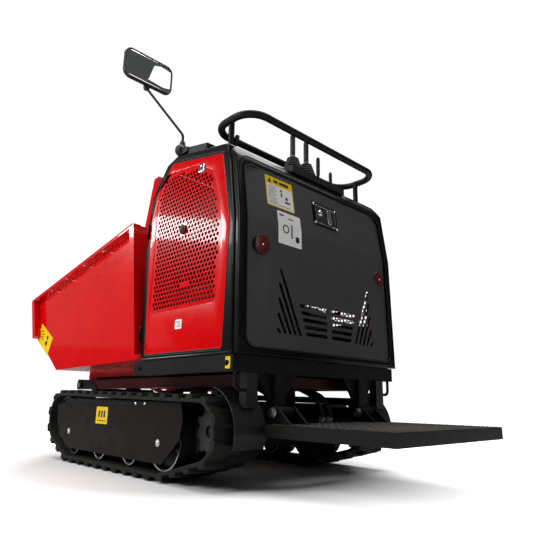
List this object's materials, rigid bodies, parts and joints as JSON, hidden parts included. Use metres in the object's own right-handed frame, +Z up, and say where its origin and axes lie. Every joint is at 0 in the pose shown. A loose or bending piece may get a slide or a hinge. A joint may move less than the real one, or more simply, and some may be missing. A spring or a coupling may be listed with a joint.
{
  "type": "power wheelbarrow",
  "caption": "Tracked power wheelbarrow with a front tipping skip, a louvred engine body, a grab rail with levers and a folding ride-on step.",
  "frame": {"origin": "on the ground, under the middle of the whole machine's box", "axes": "+Z up, +Y forward towards the skip, +X to the operator's right"},
  "size_m": [1.029, 2.095, 1.552],
  "materials": {
    "red_paint": "gloss paint",
    "chassis_red": "semi-gloss paint",
    "black_paint": "semi-gloss powder coat",
    "black_gloss": "gloss paint",
    "panel_coat": "matte textured coat",
    "cover_paint": "satin paint",
    "rubber": "moulded rubber",
    "black_plastic": "satin moulded plastic",
    "plated_steel": "zinc plate",
    "cast_metal": "painted casting",
    "red_lens": "prismatic lens"
  },
  "bodies": {
    "root": {"base_frame": "black_paint", "battery": "black_plastic", "chassis_frame": "chassis_red", "engine": "cast_metal", "front_panel": "black_paint", "fuel_tank": "black_plastic", "grab_rail": "black_paint", "hydraulic_pump": "cast_metal", "hydraulic_tank": "black_paint", "lever_boot_left": "rubber", "lever_boot_right": "rubber", "mirror_clamp": "black_plastic", "mudguard_left": "black_plastic", "mudguard_right": "black_plastic", "platform_pin_left": "plated_steel", "platform_pin_right": "plated_steel", "rear_frame": "black_gloss", "side_frame_left": "black_gloss", "side_frame_right": "black_gloss", "silencer": "plated_steel", "skip_pivot_shaft": "plated_steel", "top_console": "black_plastic", "track_belt_left": "rubber", "track_belt_right": "rubber", "track_cover_left": "cover_paint", "track_cover_right": "cover_paint", "track_frame_left": "black_paint", "track_frame_right": "black_paint", "travel_motor_left": "cast_metal", "travel_motor_right": "cast_metal"},
    "sprocket_left": {"drive_sprocket_left": "cast_metal"},
    "idler_left": {"front_idler_left": "cast_metal"},
    "wheel_rear_left": {"rear_wheel_left": "cast_metal"},
    "roller_1_left": {"track_roller_1_left": "cast_metal"},
    "roller_2_left": {"track_roller_2_left": "cast_metal"},
    "roller_3_left": {"track_roller_3_left": "cast_metal"},
    "sprocket_right": {"drive_sprocket_right": "cast_metal"},
    "idler_right": {"front_idler_right": "cast_metal"},
    "wheel_rear_right": {"rear_wheel_right": "cast_metal"},
    "roller_1_right": {"track_roller_1_right": "cast_metal"},
    "roller_2_right": {"track_roller_2_right": "cast_metal"},
    "roller_3_right": {"track_roller_3_right": "cast_metal"},
    "skip": {"skip_tub": "red_paint"},
    "cylinder_barrel": {"tip_cylinder_barrel": "black_paint"},
    "cylinder_rod": {"tip_cylinder_rod": "plated_steel"},
    "platform": {"platform_deck": "black_paint"},
    "door_left": {"side_door_left": "red_paint"},
    "door_right": {"side_door_right": "red_paint"},
    "rear_door": {"rear_panel": "panel_coat", "rear_latch_plate": "plated_steel", "reflector_left": "red_lens", "reflector_right": "red_lens"},
    "latch_paddle": {"rear_latch_paddle": "plated_steel"},
    "mirror_arm": {"mirror_stalk": "black_paint"},
    "mirror": {"mirror_head": "black_plastic"},
    "lever_left": {"drive_lever_left": "black_plastic"},
    "lever_right": {"drive_lever_right": "black_plastic"},
    "lever_tip": {"tip_lever": "black_plastic"},
    "lever_throttle": {"throttle_lever": "black_plastic"},
    "key": {"key_switch": "plated_steel"}
  },
  "joints": [
    {"name": "sprocket_spin_left", "type": "hinge", "parent": "root", "child": "sprocket_left", "pos_m": [-0.2555, -0.4675, 0.157], "axis": [-1, 0, 0], "continuous": true},
    {"name": "idler_spin_left", "type": "hinge", "parent": "root", "child": "idler_left", "pos_m": [-0.2555, 0.5055, 0.166], "axis": [-1, 0, 0], "continuous": true},
    {"name": "rear_wheel_spin_left", "type": "hinge", "parent": "root", "child": "wheel_rear_left", "pos_m": [-0.2555, -0.2675, 0.115], "axis": [-1, 0, 0], "continuous": true},
    {"name": "roller_1_spin_left", "type": "hinge", "parent": "root", "child": "roller_1_left", "pos_m": [-0.2555, -0.0525, 0.076], "axis": [-1, 0, 0], "continuous": true},
    {"name": "roller_2_spin_left", "type": "hinge", "parent": "root", "child": "roller_2_left", "pos_m": [-0.2555, 0.1725, 0.076], "axis": [-1, 0, 0], "continuous": true},
    {"name": "roller_3_spin_left", "type": "hinge", "parent": "root", "child": "roller_3_left", "pos_m": [-0.2555, 0.3945, 0.076], "axis": [-1, 0, 0], "continuous": true},
    {"name": "sprocket_spin_right", "type": "hinge", "parent": "root", "child": "sprocket_right", "pos_m": [0.4245, -0.4675, 0.157], "axis": [-1, 0, 0], "continuous": true},
    {"name": "idler_spin_right", "type": "hinge", "parent": "root", "child": "idler_right", "pos_m": [0.4245, 0.5055, 0.166], "axis": [-1, 0, 0], "continuous": true},
    {"name": "rear_wheel_spin_right", "type": "hinge", "parent": "root", "child": "wheel_rear_right", "pos_m": [0.4245, -0.2675, 0.115], "axis": [-1, 0, 0], "continuous": true},
    {"name": "roller_1_spin_right", "type": "hinge", "parent": "root", "child": "roller_1_right", "pos_m": [0.4245, -0.0525, 0.076], "axis": [-1, 0, 0], "continuous": true},
    {"name": "roller_2_spin_right", "type": "hinge", "parent": "root", "child": "roller_2_right", "pos_m": [0.4245, 0.1725, 0.076], "axis": [-1, 0, 0], "continuous": true},
    {"name": "roller_3_spin_right", "type": "hinge", "parent": "root", "child": "roller_3_right", "pos_m": [0.4245, 0.3945, 0.076], "axis": [-1, 0, 0], "continuous": true},
    {"name": "skip_tip", "type": "hinge", "parent": "root", "child": "skip", "pos_m": [0.0845, 0.6425, 0.307], "axis": [-1, 0, 0], "range_deg": [0, 70]},
    {"name": "barrel_swing", "type": "hinge", "parent": "root", "child": "cylinder_barrel", "pos_m": [0.0845, 0.1125, 0.16], "axis": [1, 0, 0], "range_deg": [0, 7.2]},
    {"name": "rod_extend", "type": "slide", "parent": "cylinder_barrel", "child": "cylinder_rod", "axis": [0, 0.9285, 0.3714], "range_m": [0, 0.1382]},
    {"name": "platform_fold", "type": "hinge", "parent": "root", "child": "platform", "pos_m": [0.0845, -0.6105, 0.214], "axis": [1, 0, 0], "range_deg": [-88, 0]},
    {"name": "door_swing_left", "type": "hinge", "parent": "root", "child": "door_left", "pos_m": [-0.3195, -0.0805, 0.7], "axis": [0, 0, -1], "range_deg": [0, 110]},
    {"name": "door_swing_right", "type": "hinge", "parent": "root", "child": "door_right", "pos_m": [0.4885, -0.0805, 0.7], "axis": [0, 0, 1], "range_deg": [0, 110]},
    {"name": "rear_panel_drop", "type": "hinge", "parent": "root", "child": "rear_door", "pos_m": [0.0845, -0.625, 0.398], "axis": [1, 0, 0], "range_deg": [0, 75]},
    {"name": "latch_paddle_pull", "type": "hinge", "parent": "rear_door", "child": "latch_paddle", "pos_m": [0.0945, -0.6065, 0.926], "axis": [-1, 0, 0], "range_deg": [0, 35], "stiffness_Nm_per_rad": 0.6},
    {"name": "mirror_swivel", "type": "hinge", "parent": "root", "child": "mirror_arm", "pos_m": [-0.3015, -0.2445, 1.2], "axis": [0, 0, 1], "range_deg": [-60, 60]},
    {"name": "mirror_tilt", "type": "hinge", "parent": "mirror_arm", "child": "mirror", "pos_m": [-0.4095, -0.1315, 1.418], "axis": [1, 0, 0], "range_deg": [-15, 15]},
    {"name": "drive_lever_left_swing", "type": "hinge", "parent": "root", "child": "lever_left", "pos_m": [0.0015, -0.5275, 1.045], "axis": [-1, 0, 0], "range_deg": [-9, 9], "stiffness_Nm_per_rad": 3},
    {"name": "drive_lever_right_swing", "type": "hinge", "parent": "root", "child": "lever_right", "pos_m": [0.0765, -0.5275, 1.045], "axis": [-1, 0, 0], "range_deg": [-9, 9], "stiffness_Nm_per_rad": 3},
    {"name": "tip_lever_swing", "type": "hinge", "parent": "root", "child": "lever_tip", "pos_m": [0.1465, -0.5275, 1.045], "axis": [-1, 0, 0], "range_deg": [-10, 10], "stiffness_Nm_per_rad": 2},
    {"name": "throttle_swing", "type": "hinge", "parent": "root", "child": "lever_throttle", "pos_m": [0.2225, -0.5275, 1.045], "axis": [-1, 0, 0], "range_deg": [-20, 20]},
    {"name": "key_turn", "type": "hinge", "parent": "root", "child": "key", "pos_m": [0.2995, -0.5175, 1.07], "axis": [0, 0, -1], "range_deg": [0, 60]}
  ],
  "couplings": [
    {"joint": "idler_spin_left", "follows": "sprocket_spin_left", "ratio": 0.89888},
    {"joint": "rear_wheel_spin_left", "follows": "sprocket_spin_left", "ratio": 0.89888},
    {"joint": "roller_1_spin_left", "follows": "sprocket_spin_left", "ratio": 1.6},
    {"joint": "roller_2_spin_left", "follows": "sprocket_spin_left", "ratio": 1.6},
    {"joint": "roller_3_spin_left", "follows": "sprocket_spin_left", "ratio": 1.6},
    {"joint": "idler_spin_right", "follows": "sprocket_spin_right", "ratio": 0.89888},
    {"joint": "rear_wheel_spin_right", "follows": "sprocket_spin_right", "ratio": 0.89888},
    {"joint": "roller_1_spin_right", "follows": "sprocket_spin_right", "ratio": 1.6},
    {"joint": "roller_2_spin_right", "follows": "sprocket_spin_right", "ratio": 1.6},
    {"joint": "roller_3_spin_right", "follows": "sprocket_spin_right", "ratio": 1.6},
    {"joint": "barrel_swing", "follows": "skip_tip", "ratio": 0.09993},
    {"joint": "rod_extend", "follows": "skip_tip", "m_per_rad": 0.11229}
  ]
}
